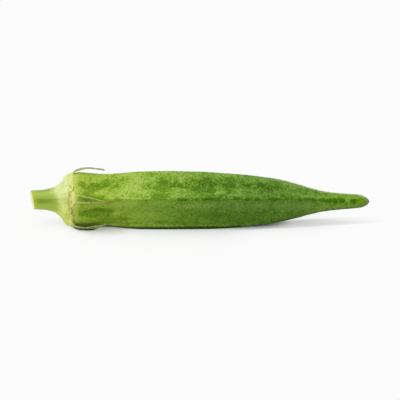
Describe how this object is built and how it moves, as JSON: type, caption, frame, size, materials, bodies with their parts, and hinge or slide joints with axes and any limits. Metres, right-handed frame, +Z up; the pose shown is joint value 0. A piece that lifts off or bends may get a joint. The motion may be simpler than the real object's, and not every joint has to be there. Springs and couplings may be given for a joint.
{
  "type": "okra pod",
  "caption": "Fresh okra pod lying on its side: ridged, tapering green pod with a pale cap, cut stem and narrow bracts at the rim",
  "frame": {"origin": "on the surface that the pod lies on, under the middle of its length and width", "axes": "+X runs from the cut stem to the tip, +Z is up and -Y is the front, where one ridge faces"},
  "size_m": [0.117, 0.0206, 0.0202],
  "materials": {
    "pod_skin": "fresh plant skin with a fine velvety down, satin",
    "stem_green": "fresh cut stem and cap, smooth and satin",
    "bract_leaf": "thin leathery leaf, matt"
  },
  "bodies": {
    "root": {"pod": "pod_skin", "stem_cap": "stem_green", "bract_top": "bract_leaf", "bract_front": "bract_leaf", "bract_under": "bract_leaf", "bract_back_high": "bract_leaf", "bract_back_low": "bract_leaf"}
  },
  "joints": []
}
